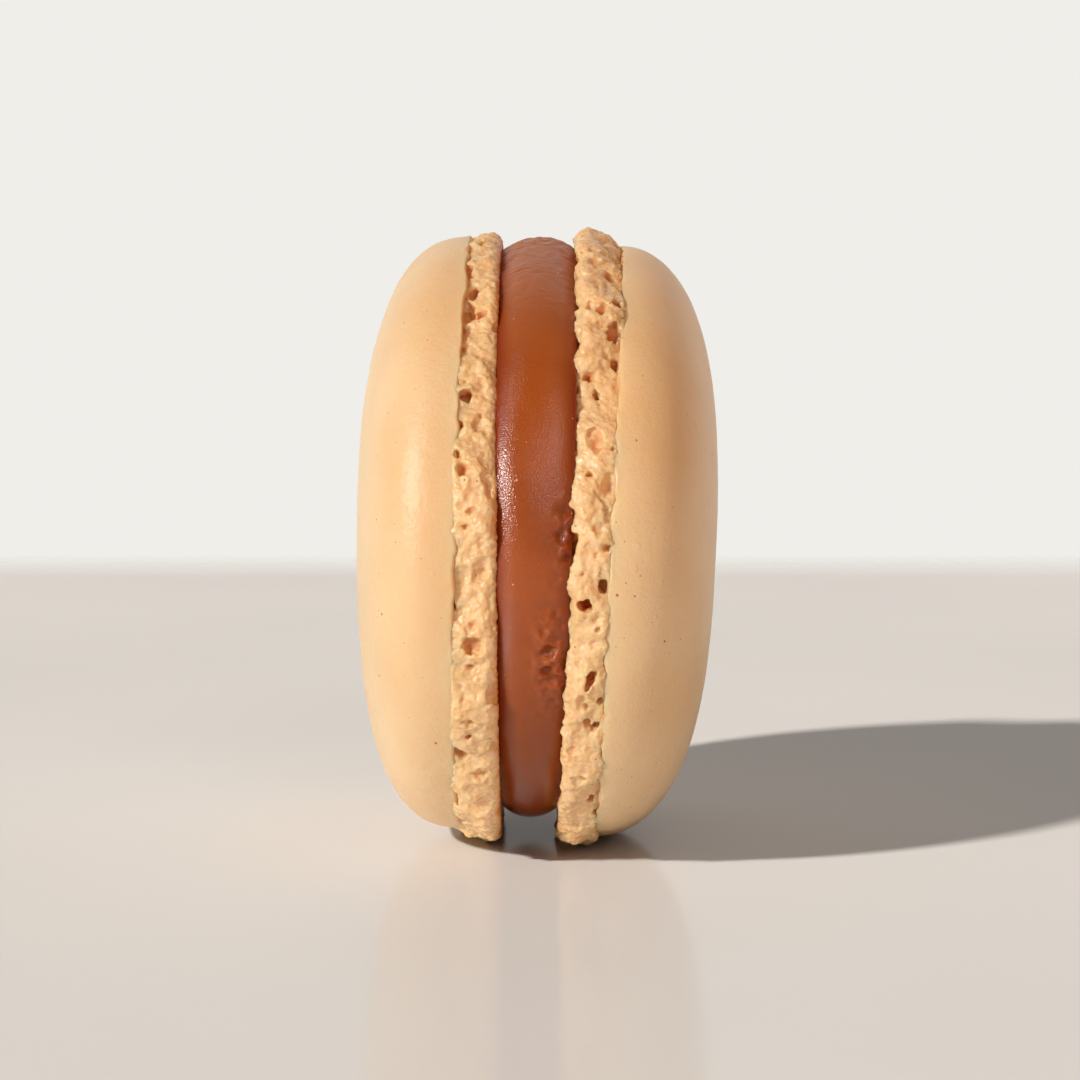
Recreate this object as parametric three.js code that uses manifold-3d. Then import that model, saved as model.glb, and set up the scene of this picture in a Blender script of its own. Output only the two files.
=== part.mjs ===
// A caramel macaron standing on its edge: two baked almond shells, each a smooth dome over a ruffled and
// porous foot, with a disc of caramel between them. Millimetres, +Z up. +X runs through the sandwich from
// the left shell to the right one, and -Y is the side towards the viewer. z = 0 is the surface it rests on.
// An angle round the rim is 0 towards the viewer, a quarter turn at the top and three quarters at the bottom.
import * as THREE from "three";
import { mergeVertices } from "three/addons/utils/BufferGeometryUtils.js";
import Module from "manifold-3d";

const wasm = await Module();
wasm.setup();

const TURN = 2 * Math.PI;
const DEGREE = TURN / 360;
const BOTTOM = 0.75 * TURN;

// Driving dimensions of the whole.
const FOOT_RADIUS = 22.4;
const AXIS_HEIGHT = 22.05;
const FACE_GAP = 0.3;

// The two shells. face is how far the inner face lies from the middle, and apex how far the dome's top lies
// from that face. footTop, footFront and footBack are how thick the foot is at those places. domeFullness
// and domeSweep are the exponents of the dome's curve, with frontSweep in place of the latter towards the
// viewer. domeRise moves the dome up on the foot, and domeForward moves it towards the viewer. topRise lifts
// the foot at the top, and tuckTop and tuckBottom draw its outer side in there and at the bottom.
const LEFT_SHELL = {
  name: "shell_left",
  side: -1,
  face: 2.8,
  lean: 0,
  apex: 10.3,
  domeRadius: 21.7,
  domeSweep: 2.4,
  frontSweep: 3.1,
  domeFullness: 2.9,
  domeLean: -0.012,
  domeRise: 0.5,
  domeForward: 0.5,
  footTop: 2.6,
  footFront: 2.9,
  footBack: 2.9,
  topRise: 0,
  tuckTop: 0.4,
  tuckBottom: 1,
  seed: 71,
  // The large holes that face the viewer: degrees round the rim, share of the way from the face to the
  // dome, half length along the rim, half width and depth.
  frontPores: [
    [54, 0.68, 0.75, 0.5, 1],
    [48.5, 0.8, 0.95, 0.6, 0.55],
    [29.8, 0.84, 0.6, 0.45, 1.1],
    [15.9, 0.8, 0.45, 0.5, 0.6],
    [9, 0.54, 0.3, 0.45, 0.5],
    [-13.8, 0.54, 0.7, 0.62, 0.6],
    [-36.6, 0.8, 0.7, 0.5, 0.7],
  ],
};
const RIGHT_SHELL = {
  name: "shell_right",
  side: 1,
  face: 2,
  lean: 0.031,
  apex: 10.57,
  domeRadius: 21.75,
  domeSweep: 2.06,
  frontSweep: 2.25,
  domeFullness: 3.35,
  domeLean: 0.005,
  domeRise: -0.05,
  domeForward: 0.7,
  footTop: 3.2,
  footFront: 2.5,
  footBack: 3,
  topRise: 0.6,
  tuckTop: 1.6,
  tuckBottom: 0.4,
  seed: 43,
  frontPores: [
    [49.5, 0.85, 0.5, 0.42, 0.8],
    [47.2, 0.52, 0.75, 0.35, 0.8],
    [42.6, 0.78, 0.95, 0.5, 0.7],
    [33.6, 0.3, 0.36, 0.4, 0.7],
    [21.6, 0.5, 0.85, 0.65, 0.45],
    [-3.4, 0.84, 0.55, 0.4, 1],
    [-6.6, 0.4, 0.5, 0.5, 1.1],
    [-19.8, 0.56, 0.9, 0.35, 0.8],
    [-30.2, 0.78, 0.5, 0.4, 0.8],
    [-50.3, 0.75, 0.6, 0.4, 0.8],
  ],
};

// The foot's two edges draw in: where it meets the caramel, and in a crease under the dome.
const EDGE_ROUND = 0.5;
const EDGE_SHARE = 0.3;
const CREASE_DEPTH = 0.35;
const CREASE_SHARE = 0.3;
const CREASE_INSET = 0.35;
const CREASE_WIDTH = 0.15;

// The ruffle along the foot is a sum of waves round the rim, each finer and lower than the one before. It
// is calm within CALM_ANGLE of the flat that the foot stands on.
const WAVES = 5;
const FIRST_WAVE = 6;
const WAVE_GROWTH = 1.42;
const RUFFLE_HEIGHT = 0.22;
const WAVE_SLANT = 5;
const CALM_ANGLE = 12 * DEGREE;

// The other holes are spread round the rest of the rim.
const PORE_COUNT = 19;
const PORE_LENGTH = [0.35, 0.8];
const PORE_WIDTH = [0.3, 0.5];
const PORE_DEPTH = [0.5, 0.9];
const PORE_SHARE = [0.3, 1];
const PORES_FROM = 58 * DEGREE;
const PORES_TO = 252 * DEGREE;
const PORE_TWIST = 0.6;
const PORE_UNEVEN = 0.35;

// The caramel disc sits a little higher and further forward than the shells' axis. Its rim bulges out, by the
// first height and exponent in front and at the back, and by the second ones at the top and the bottom.
const CARAMEL_RADIUS = 21.35;
const CARAMEL_RISE = 0.85;
const CARAMEL_FORWARD = 1;
const CARAMEL_BULGE = [0.6, 1.05];
const CARAMEL_SWELL = [2.6, 2.2];
const CARAMEL_WAVER = 0.08;

// How finely the solids are faceted.
const SHELL_STEPS = 96;
const DOME_ROWS = 9;
const FOOT_SHARES = [1, 0.84, 0.66, 0.48, 0.3, 0.12, 0];
const FACE_RING_RADIUS = 15;
const CARAMEL_STEPS = 72;
const CARAMEL_ROWS = 6;

// Colours and finishes.
const CRUST = new THREE.MeshStandardMaterial({ color: 0xe6b27a, roughness: 0.72, metalness: 0 });
const CARAMEL = new THREE.MeshStandardMaterial({ color: 0x96461f, roughness: 0.35, metalness: 0 });

// A repeatable draw between 0 and 1.
function seededDraw(seed) {
  let state = seed;
  return () => {
    state = (state * 48271) % 2147483647;
    return state / 2147483647;
  };
}

const between = ([low, high], share) => low + (high - low) * share;

const roundTheRim = (steps, place) => Array.from({ length: steps }, (_, i) => place((TURN * i) / steps));

// The shortest distance round the rim between two angles.
function angleApart(a, b) {
  const apart = Math.abs(a - b) % TURN;
  return Math.min(apart, TURN - apart);
}

// Joins rings of points and closes the two ends on a point each, into one closed surface.
function closedSurface(start, rings, end, flipped) {
  const steps = rings[0].length;
  const points = [start, ...rings.flat(), end];
  const last = points.length - 1;
  const faces = [];
  const at = (ring, i) => 1 + ring * steps + (i % steps);
  const face = (a, b, c) => faces.push(...(flipped ? [a, c, b] : [a, b, c]));
  for (let i = 0; i < steps; i++) {
    face(0, at(0, i + 1), at(0, i));
    for (let ring = 0; ring + 1 < rings.length; ring++) {
      face(at(ring, i), at(ring, i + 1), at(ring + 1, i));
      face(at(ring, i + 1), at(ring + 1, i + 1), at(ring + 1, i));
    }
    face(last, at(rings.length - 1, i), at(rings.length - 1, i + 1));
  }
  return new THREE.BufferGeometry().setFromPoints(points).setIndex(faces);
}

// The solid that a closed geometry bounds, and the geometry of a solid.
function solidOf(geometry) {
  const bare = geometry.clone();
  bare.deleteAttribute("normal");
  bare.deleteAttribute("uv");
  const merged = mergeVertices(bare);
  const vertProperties = merged.attributes.position.array;
  const triVerts = new Uint32Array(merged.index.array);
  return new wasm.Manifold(new wasm.Mesh({ numProp: 3, vertProperties, triVerts }));
}

function geometryOf(solid) {
  const mesh = solid.getMesh();
  const geometry = new THREE.BufferGeometry();
  geometry.setAttribute("position", new THREE.BufferAttribute(mesh.vertProperties, 3));
  geometry.setIndex(new THREE.BufferAttribute(mesh.triVerts, 1));
  geometry.computeVertexNormals();
  return geometry;
}

function ruffleWaves(draw) {
  return Array.from({ length: WAVES }, (_, i) => ({
    count: Math.round(FIRST_WAVE * WAVE_GROWTH ** i),
    phase: TURN * draw(),
    slant: WAVE_SLANT * (draw() - 0.5),
    height: RUFFLE_HEIGHT / WAVE_GROWTH ** (i / 2),
  }));
}

// How far the foot stands out, at an angle and a share of the way from its face to the dome.
function ruffle(waves, angle, share) {
  const calm = 1 - Math.exp(-((angleApart(angle, BOTTOM) / CALM_ANGLE) ** 2));
  const crest = (wave) => wave.height * Math.cos(wave.count * angle + wave.phase + wave.slant * share);
  return calm * waves.reduce((sum, wave) => sum + crest(wave), 0);
}

// The ruffle with the foot's crest at the top, less what its outer side draws in there and at the bottom.
function footLift(shell, waves, angle, share) {
  const height = Math.sin(angle);
  const rise = height > 0 ? shell.topRise : 0;
  const tuck = height > 0 ? shell.tuckTop : shell.tuckBottom;
  return ruffle(waves, angle, share) + (rise - tuck * share ** 2) * height ** 2;
}

function footRadius(shell, waves, angle, share) {
  const edge = EDGE_ROUND * Math.max(0, 1 - share / EDGE_SHARE) ** 2;
  const crease = CREASE_DEPTH * Math.max(0, 1 - (1 - share) / CREASE_SHARE) ** 2;
  return FOOT_RADIUS - edge - crease + footLift(shell, waves, angle, share);
}

// The foot's thickness at an angle round the rim.
function footThickness(shell, angle) {
  const middle = (shell.footFront + shell.footBack) / 2;
  const towardsBack = ((shell.footFront - shell.footBack) / 2) * Math.cos(angle);
  const towardsTop = (shell.footTop - middle) * Math.max(0, Math.sin(angle));
  return middle + towardsBack + towardsTop;
}

// A point of a shell from its distance out of the inner face, its distance from the axis and its angle.
function shellPoint(shell, out, radius, angle) {
  return new THREE.Vector3(shell.side * out, -radius * Math.cos(angle), radius * Math.sin(angle));
}

// A point of the dome. share is 0 at the apex and 1 at its edge on the foot.
function domePoint(shell, share, angle) {
  const swing = (share * TURN) / 4;
  const thickness = footThickness(shell, angle);
  const radius = shell.domeRadius * Math.sin(swing) ** (2 / shell.domeFullness);
  const sweep = between([shell.domeSweep, shell.frontSweep], Math.cos(angle) ** 2);
  const out = thickness + (shell.apex - thickness) * Math.cos(swing) ** (2 / sweep);
  const point = shellPoint(shell, out, radius, angle);
  point.x += shell.side * shell.domeLean * point.z;
  point.y -= shell.domeForward;
  point.z += shell.domeRise;
  return point;
}

// The bottom of the crease between the dome and the foot.
function creasePoint(shell, angle) {
  const edge = domePoint(shell, 1, angle);
  const inset = 1 - CREASE_INSET / shell.domeRadius;
  return new THREE.Vector3(edge.x - (shell.side * CREASE_WIDTH) / 2, edge.y * inset, edge.z * inset);
}

function footPoint(shell, waves, share, angle) {
  const edge = shell.side * domePoint(shell, 1, angle).x - CREASE_WIDTH;
  return shellPoint(shell, share * edge, footRadius(shell, waves, angle, share), angle);
}

// The shell before its holes: dome, crease, ruffled foot and flat inner face.
function shellBlank(shell, waves) {
  const rings = [];
  for (let row = 1; row <= DOME_ROWS; row++)
    rings.push(roundTheRim(SHELL_STEPS, (angle) => domePoint(shell, row / DOME_ROWS, angle)));
  rings.push(roundTheRim(SHELL_STEPS, (angle) => creasePoint(shell, angle)));
  for (const share of FOOT_SHARES)
    rings.push(roundTheRim(SHELL_STEPS, (angle) => footPoint(shell, waves, share, angle)));
  rings.push(roundTheRim(SHELL_STEPS, (angle) => shellPoint(shell, 0, FACE_RING_RADIUS, angle)));
  return closedSurface(domePoint(shell, 0, 0), rings, new THREE.Vector3(), shell.side < 0);
}

// One hole: an uneven pebble whose middle lies on the foot's surface.
function pore(shell, waves, draw, [angle, share, length, width, depth]) {
  const across = new THREE.Vector3(1, 0, 0);
  const outward = new THREE.Vector3(0, -Math.cos(angle), Math.sin(angle));
  const along = new THREE.Vector3().crossVectors(outward, across);
  const twist = PORE_TWIST * (draw() - 0.5);
  const frame = new THREE.Matrix4().makeBasis(across, along, outward);
  frame.multiply(new THREE.Matrix4().makeRotationZ(twist));
  frame.scale(new THREE.Vector3(width, length, depth));
  frame.setPosition(footPoint(shell, waves, share, angle));
  const ball = new THREE.IcosahedronGeometry(1, 1);
  ball.deleteAttribute("normal");
  ball.deleteAttribute("uv");
  const pebble = mergeVertices(ball);
  const corners = pebble.attributes.position;
  const corner = new THREE.Vector3();
  for (let i = 0; i < corners.count; i++) {
    corner.fromBufferAttribute(corners, i).multiplyScalar(1 + PORE_UNEVEN * (draw() - 0.5));
    corners.setXYZ(i, ...corner.toArray());
  }
  return solidOf(pebble.applyMatrix4(frame));
}

// The holes that face the viewer, and the others in even steps round the rest of the rim.
function poreSizes(shell, draw) {
  const front = shell.frontPores.map(([angle, ...rest]) => [angle * DEGREE, ...rest]);
  const others = Array.from({ length: PORE_COUNT }, (_, i) => [
    between([PORES_FROM, PORES_TO], (i + draw()) / PORE_COUNT),
    between(PORE_SHARE, draw()),
    between(PORE_LENGTH, draw()),
    between(PORE_WIDTH, draw()),
    between(PORE_DEPTH, draw()),
  ]);
  return [...front, ...others];
}

// Everything under the surface that the macaron stands on, as seen from a piece in its place.
function underTheTable(piece) {
  const size = 4 * FOOT_RADIUS;
  const block = new THREE.BoxGeometry(size, size, size).translate(0, 0, -size / 2);
  piece.updateMatrix();
  return solidOf(block.applyMatrix4(piece.matrix.clone().invert()));
}

function shellPiece(shell) {
  const draw = seededDraw(shell.seed);
  const waves = ruffleWaves(draw);
  const holes = poreSizes(shell, draw).map((size) => pore(shell, waves, draw, size));
  const piece = new THREE.Mesh(undefined, CRUST);
  piece.name = shell.name;
  piece.position.set(shell.side * shell.face, 0, AXIS_HEIGHT);
  piece.rotation.y = shell.lean;
  const blank = solidOf(shellBlank(shell, waves));
  const cut = holes.reduce((solid, hole) => solid.subtract(hole), blank);
  piece.geometry = geometryOf(cut.subtract(underTheTable(piece)));
  return piece;
}

// The caramel follows both inner faces a small gap away, so it is thicker at the top than at the bottom.
// The rings of its rim, from the right to the left, lie closest together at its two edges.
function caramelPiece() {
  const leftFace = () => FACE_GAP - LEFT_SHELL.face;
  const rightFace = (height) => RIGHT_SHELL.face - FACE_GAP + Math.tan(RIGHT_SHELL.lean) * height;
  const rimRing = (share) =>
    roundTheRim(CARAMEL_STEPS, (angle) => {
      const upright = Math.sin(angle) ** 2;
      const swell = between(CARAMEL_SWELL, upright);
      const bulge = between(CARAMEL_BULGE, upright) * Math.abs(2 * share - 1) ** swell;
      const waver = CARAMEL_WAVER * (Math.sin(3 * angle + 1) + Math.sin(7 * angle + 4 * share));
      const radius = CARAMEL_RADIUS - bulge + waver;
      const height = radius * Math.sin(angle);
      const x = between([leftFace(), rightFace(height + CARAMEL_RISE)], share);
      return new THREE.Vector3(x, -radius * Math.cos(angle), height);
    });
  const shareOfRow = (row) => (1 + Math.cos((Math.PI * row) / CARAMEL_ROWS)) / 2;
  const rings = Array.from({ length: CARAMEL_ROWS + 1 }, (_, row) => rimRing(shareOfRow(row)));
  const right = new THREE.Vector3(rightFace(CARAMEL_RISE), 0, 0);
  const left = new THREE.Vector3(leftFace(), 0, 0);
  const piece = new THREE.Mesh(closedSurface(right, rings, left, false), CARAMEL);
  piece.geometry.computeVertexNormals();
  piece.name = "caramel_filling";
  piece.position.set(0, -CARAMEL_FORWARD, AXIS_HEIGHT + CARAMEL_RISE);
  return piece;
}

const macaron = new THREE.Group();
macaron.name = "macaron";
macaron.add(shellPiece(LEFT_SHELL), shellPiece(RIGHT_SHELL), caramelPiece());

export default macaron;
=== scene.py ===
"""A caramel macaron on its edge: two baked almond shells and a disc of caramel, on a pale table."""

import math
from dataclasses import dataclass

import bmesh
import bpy
from mathutils import Matrix, Vector, noise


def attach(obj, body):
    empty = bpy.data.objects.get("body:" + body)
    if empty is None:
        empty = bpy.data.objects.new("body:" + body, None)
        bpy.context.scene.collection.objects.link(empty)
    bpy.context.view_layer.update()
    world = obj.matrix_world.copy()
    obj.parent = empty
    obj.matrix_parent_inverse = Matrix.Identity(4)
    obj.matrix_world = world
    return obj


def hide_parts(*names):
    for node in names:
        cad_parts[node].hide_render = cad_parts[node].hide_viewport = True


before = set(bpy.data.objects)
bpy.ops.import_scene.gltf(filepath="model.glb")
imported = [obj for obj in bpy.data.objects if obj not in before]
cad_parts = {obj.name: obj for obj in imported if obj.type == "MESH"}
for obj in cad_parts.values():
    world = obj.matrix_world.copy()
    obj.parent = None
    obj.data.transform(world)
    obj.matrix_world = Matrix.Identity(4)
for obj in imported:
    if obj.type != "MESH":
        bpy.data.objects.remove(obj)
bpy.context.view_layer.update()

# Driving dimensions, in millimetres as the solids have them. An angle round the rim is 0 towards the
# viewer, a quarter turn at the top and three quarters at the bottom.
MM = 0.001
TURN = 2 * math.pi
DEGREE = TURN / 360
BOTTOM = 0.75 * TURN
FOOT_RADIUS = 22.4
AXIS_HEIGHT = 22.05


@dataclass(frozen=True)
class Shell:
    """One almond shell. Its face is its distance from the middle, and its apex the dome's from that face."""

    name: str
    side: int
    face: float
    lean: float
    apex: float
    dome_radius: float
    dome_sweep: float
    front_sweep: float
    dome_fullness: float
    dome_lean: float
    dome_rise: float
    dome_forward: float
    foot_top: float
    foot_front: float
    foot_back: float
    top_rise: float
    tuck_top: float
    tuck_bottom: float
    smooth_edge: float
    seed: int
    front_pores: tuple

    @property
    def foot_middle(self):
        return (self.foot_front + self.foot_back) / 2


# A front pore is degrees round the rim, share of the way from the face to the dome, half length along the
# rim, half width across it and depth.
LEFT_SHELL = Shell(
    name="shell_left", side=-1, face=2.8, lean=0, apex=10.3, dome_radius=21.7,
    dome_sweep=2.4, front_sweep=3.1, dome_fullness=2.9, dome_lean=-0.012, dome_rise=0.5, dome_forward=0.5,
    foot_top=2.6, foot_front=2.9, foot_back=2.9, top_rise=0, tuck_top=0.4, tuck_bottom=1,
    smooth_edge=0.8, seed=71,
    front_pores=(
        (54, 0.68, 0.75, 0.5, 1),
        (48.5, 0.8, 0.95, 0.6, 0.55),
        (47.5, 0.43, 0.4, 0.4, 0.9),
        (44.3, 0.05, 0.2, 0.2, 0.4),
        (40.4, 0.44, 0.16, 0.16, 0.4),
        (29.5, 0.76, 0.46, 0.44, 1.2),
        (23.9, 0.9, 0.4, 0.25, 0.6),
        (18.7, 0.9, 0.3, 0.25, 0.6),
        (15.9, 0.8, 0.45, 0.5, 0.6),
        (12.4, 0.2, 0.28, 0.16, 0.5),
        (9, 0.54, 0.28, 0.45, 0.35),
        (6.6, 0.68, 0.22, 0.25, 0.4),
        (-6.8, 0.95, 0.5, 0.2, 0.6),
        (-13.8, 0.54, 0.7, 0.62, 0.6),
        (-18, 0.58, 0.24, 0.28, 0.5),
        (-21.5, 0.05, 0.35, 0.16, 0.4),
        (-24.6, 0.04, 0.4, 0.16, 0.4),
        (-32.1, 0.64, 0.2, 0.24, 0.6),
        (-36.6, 0.8, 0.7, 0.5, 0.7),
        (-35.8, 0.43, 0.18, 0.14, 0.4),
        (-50.6, 0.95, 1.3, 0.28, 0.5),
    ),
)
RIGHT_SHELL = Shell(
    name="shell_right", side=1, face=2, lean=0.031, apex=10.57, dome_radius=21.75,
    dome_sweep=2.06, front_sweep=2.25, dome_fullness=3.35, dome_lean=0.005, dome_rise=-0.05, dome_forward=0.7,
    foot_top=3.2, foot_front=2.5, foot_back=3, top_rise=0.6, tuck_top=1.6, tuck_bottom=0.4,
    smooth_edge=0, seed=43,
    front_pores=(
        (60, 0.66, 0.7, 0.25, 0.5),
        (47.8, 0.27, 0.7, 0.27, 0.5),
        (47.2, 0.52, 0.75, 0.3, 0.8),
        (49.5, 0.85, 0.45, 0.42, 0.8),
        (42.6, 0.78, 0.95, 0.5, 0.7),
        (36.8, 0.84, 0.5, 0.4, 0.7),
        (33.6, 0.3, 0.34, 0.4, 0.7),
        (30.4, 0.46, 0.5, 0.25, 0.6),
        (21.6, 0.5, 0.85, 0.65, 0.45),
        (15.3, 0.37, 0.2, 0.25, 0.5),
        (9, 0.84, 1.3, 0.35, 0.25),
        (3.1, 0.86, 0.26, 0.3, 0.5),
        (3.4, 0, 0.95, 0.45, 0.9),
        (-3.4, 0.84, 0.55, 0.38, 1),
        (-6.6, 0.4, 0.5, 0.48, 1.1),
        (-19.8, 0.56, 0.9, 0.3, 0.8),
        (-24, 0.85, 0.35, 0.27, 0.6),
        (-30.2, 0.78, 0.5, 0.35, 0.8),
        (-29, 0.58, 0.5, 0.28, 0.6),
        (-43.5, 0.8, 0.3, 0.2, 0.6),
        (-50.3, 0.75, 0.55, 0.32, 0.8),
        (-55, 0.94, 0.5, 0.2, 0.5),
    ),
)

# The foot's two edges draw in: where it meets the caramel, and in a shallow crease under the dome. The
# seam between foot and dome wavers, and the foot laps a little way under the dome.
EDGE_ROUND = 0.5
EDGE_SHARE = 0.3
CREASE_DEPTH = 0.15
CREASE_SHARE = 0.3
SEAM_WAVER = 0.24
SEAM_WAVE = 1.3
SEAM_FADE = 8
FOOT_LAP = 0.1

# The ruffle along the foot is a sum of waves round the rim, as in the solids.
WAVES = 5
FIRST_WAVE = 6
WAVE_GROWTH = 1.42
RUFFLE_HEIGHT = 0.22
WAVE_SLANT = 5
CALM_ANGLE = 12 * DEGREE

# The other pores are spread round the rest of the rim, as in the solids.
PORE_COUNT = 19
PORE_LENGTH = (0.35, 0.8)
PORE_WIDTH = (0.3, 0.5)
PORE_DEPTH = (0.5, 0.9)
PORE_SHARE = (0.3, 1)
PORES_FROM = 58 * DEGREE
PORES_TO = 252 * DEGREE
PORE_TWIST = 0.6

# The caramel disc sits a little higher and further forward than the shells' axis, and its rim bulges out,
# least in front.
CARAMEL_RADIUS = 21.35
CARAMEL_RISE = 0.85
CARAMEL_FORWARD = 1
CARAMEL_BULGE = (0.6, 1.05)
CARAMEL_SWELL = (2.6, 2.2)
CARAMEL_WAVER = 0.08


def seeded_draw(seed):
    """Repeatable draws between 0 and 1."""
    state = seed
    while True:
        state = state * 48271 % 2147483647
        yield state / 2147483647


def between(limits, share):
    low, high = limits
    return low + (high - low) * share


def angle_apart(a, b):
    """The shortest distance round the rim between two angles."""
    apart = abs(a - b) % TURN
    return min(apart, TURN - apart)


def ruffle_waves(draw):
    """Each wave's count round the rim, its phase, its slant across the foot and its height."""
    waves = []
    for i in range(WAVES):
        count = round(FIRST_WAVE * WAVE_GROWTH**i)
        phase = TURN * next(draw)
        slant = WAVE_SLANT * (next(draw) - 0.5)
        waves.append((count, phase, slant, RUFFLE_HEIGHT / WAVE_GROWTH ** (i / 2)))
    return waves


def ruffle(waves, angle, share):
    """How far the foot stands out at an angle and a share of the way from its face to the dome."""
    calm = 1 - math.exp(-((angle_apart(angle, BOTTOM) / CALM_ANGLE) ** 2))
    crests = (
        height * math.cos(count * angle + phase + slant * share)
        for count, phase, slant, height in waves
    )
    return calm * sum(crests)


def foot_section(share):
    """The foot's radius before its ruffle."""
    edge = EDGE_ROUND * max(0, 1 - share / EDGE_SHARE) ** 2
    crease = CREASE_DEPTH * max(0, 1 - (1 - share) / CREASE_SHARE) ** 2
    return FOOT_RADIUS - edge - crease


def foot_lift(shell, waves, angle, share):
    """The ruffle, with the crest at the top, less what the foot's outer side draws in there and below."""
    height = math.sin(angle)
    rise, tuck = (shell.top_rise, shell.tuck_top) if height > 0 else (0, shell.tuck_bottom)
    return ruffle(waves, angle, share) + (rise - tuck * share**2) * height**2


def foot_thickness(shell, angle):
    towards_back = (shell.foot_front - shell.foot_back) / 2 * math.cos(angle)
    towards_top = (shell.foot_top - shell.foot_middle) * max(0, math.sin(angle))
    return shell.foot_middle + towards_back + towards_top


def seam(shell, angle):
    """How far the seam between foot and dome wavers out of its smooth course."""
    spot = Vector((shell.seed, FOOT_RADIUS * math.cos(angle), FOOT_RADIUS * math.sin(angle)))
    return SEAM_WAVER * noise.noise(spot / SEAM_WAVE)


def shell_point(shell, out, radius, angle):
    return Vector((shell.side * out, -radius * math.cos(angle), radius * math.sin(angle)))


def dome_edge(shell, angle):
    """How far out of the shell's inner face the dome's edge lies."""
    lean = shell.dome_lean * shell.dome_radius * math.sin(angle)
    return foot_thickness(shell, angle) + seam(shell, angle) + lean


def shell_place(shell):
    """Carries a shell's own frame, its inner face at x = 0, into the row frame."""
    return Matrix.Translation((shell.side * shell.face, 0, AXIS_HEIGHT)) @ Matrix.Rotation(shell.lean, 4, "Y")


# Mesh tools
MERGE_DISTANCE = 0.001


def lathe(profile, chords, cuts, closed=False):
    """Spins a profile of (out, radius) points about the X axis, then cuts each chord and rounds it."""
    mesh = bmesh.new()
    corners = [mesh.verts.new((out, -radius, 0)) for out, radius in profile]
    pairs = list(zip(corners, corners[1:]))
    if closed:
        pairs.append((corners[-1], corners[0]))
    edges = [mesh.edges.new(pair) for pair in pairs]
    bmesh.ops.spin(mesh, geom=corners + edges, axis=(1, 0, 0), angle=TURN, steps=chords, use_merge=True)
    bmesh.ops.remove_doubles(mesh, verts=mesh.verts, dist=MERGE_DISTANCE)
    round_edges = [edge for edge in mesh.edges if runs_round(edge)]
    bmesh.ops.subdivide_edges(mesh, edges=round_edges, cuts=cuts, use_grid_fill=True)
    chord = TURN / chords
    for vert in mesh.verts:
        off_middle = polar(vert.co)[1] % chord - chord / 2
        vert.co.yz *= math.cos(off_middle) / math.cos(chord / 2)
    bmesh.ops.recalc_face_normals(mesh, faces=mesh.faces)
    return mesh


def runs_round(edge):
    """Whether an edge lies along the spin, and not along the profile."""
    start, end = (vert.co for vert in edge.verts)
    same_out = abs(start.x - end.x) < MERGE_DISTANCE
    return same_out and abs(polar(start)[0] - polar(end)[0]) < MERGE_DISTANCE


def polar(point):
    """The radius and the rim angle of a point about the X axis."""
    return math.hypot(point.y, point.z), math.atan2(point.z, -point.y)


def as_object(mesh, name):
    data = bpy.data.meshes.new(name)
    bmesh.ops.recalc_face_normals(mesh, faces=mesh.faces)
    mesh.to_mesh(data)
    mesh.free()
    data.shade_smooth()
    piece = bpy.data.objects.new(name, data)
    bpy.context.scene.collection.objects.link(piece)
    return piece


def apply_modifiers(piece):
    """Replaces a piece's mesh by what its modifiers make of it."""
    depsgraph = bpy.context.evaluated_depsgraph_get()
    finished = bpy.data.meshes.new_from_object(piece.evaluated_get(depsgraph))
    piece.modifiers.clear()
    piece.data = finished
    return piece


def remesh(piece, voxel):
    modifier = piece.modifiers.new("voxels", "REMESH")
    modifier.mode = "VOXEL"
    modifier.voxel_size = voxel
    modifier.use_smooth_shade = True
    return apply_modifiers(piece)


def soften(piece, rounds):
    """Evens out a mesh's sharpest corners and creases."""
    modifier = piece.modifiers.new("soften", "SMOOTH")
    modifier.iterations = rounds
    return apply_modifiers(piece)


def carve(piece, tool):
    """Cuts one closed mesh out of another and removes the tool."""
    modifier = piece.modifiers.new("carve", "BOOLEAN")
    modifier.operation = "DIFFERENCE"
    modifier.solver = "MANIFOLD"
    modifier.object = tool
    apply_modifiers(piece)
    bpy.data.objects.remove(tool)
    return piece


def thin_out(piece, most_triangles):
    """Collapses the flattest faces until a mesh of quads has no more than that many triangles."""
    modifier = piece.modifiers.new("thin", "DECIMATE")
    modifier.ratio = min(1, most_triangles / (2 * len(piece.data.polygons)))
    return apply_modifiers(piece)


def to_row_frame(piece, place):
    """Moves a mesh made in millimetres into the row frame in metres and rests it on the table."""
    piece.data.transform(place)
    for vert in piece.data.vertices:
        vert.co.z = max(vert.co.z, 0)
    piece.data.transform(Matrix.Scale(MM, 4))
    piece.data.shade_smooth()


# The domes. Each step of the lip goes down and inwards, and each swell is a wave and a height.
DOME_ROWS = 90
DOME_CROWDING = 1.5
DOME_CHORDS = 70
DOME_CUTS = 6
CORE_RADIUS = 20.8
LIP = ((0.06, 0.04), (0.1, 0.25), (0.12, 0.6))
DOME_SWELLS = ((11, 0.1), (3.5, 0.03), (0.9, 0.012))
EDGE_ROLL = 0.07
EDGE_ROLL_WIDTH = 0.35
EDGE_GRAIN = 0.09
EDGE_GRAIN_WIDTH = 0.35
EDGE_GRAIN_WAVE = 0.35
# How far under the dome's edge the painted shade begins and where it is full, in millimetres
PAINTED_UNDERSIDE_SPAN = (-0.01, -0.05)


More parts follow.
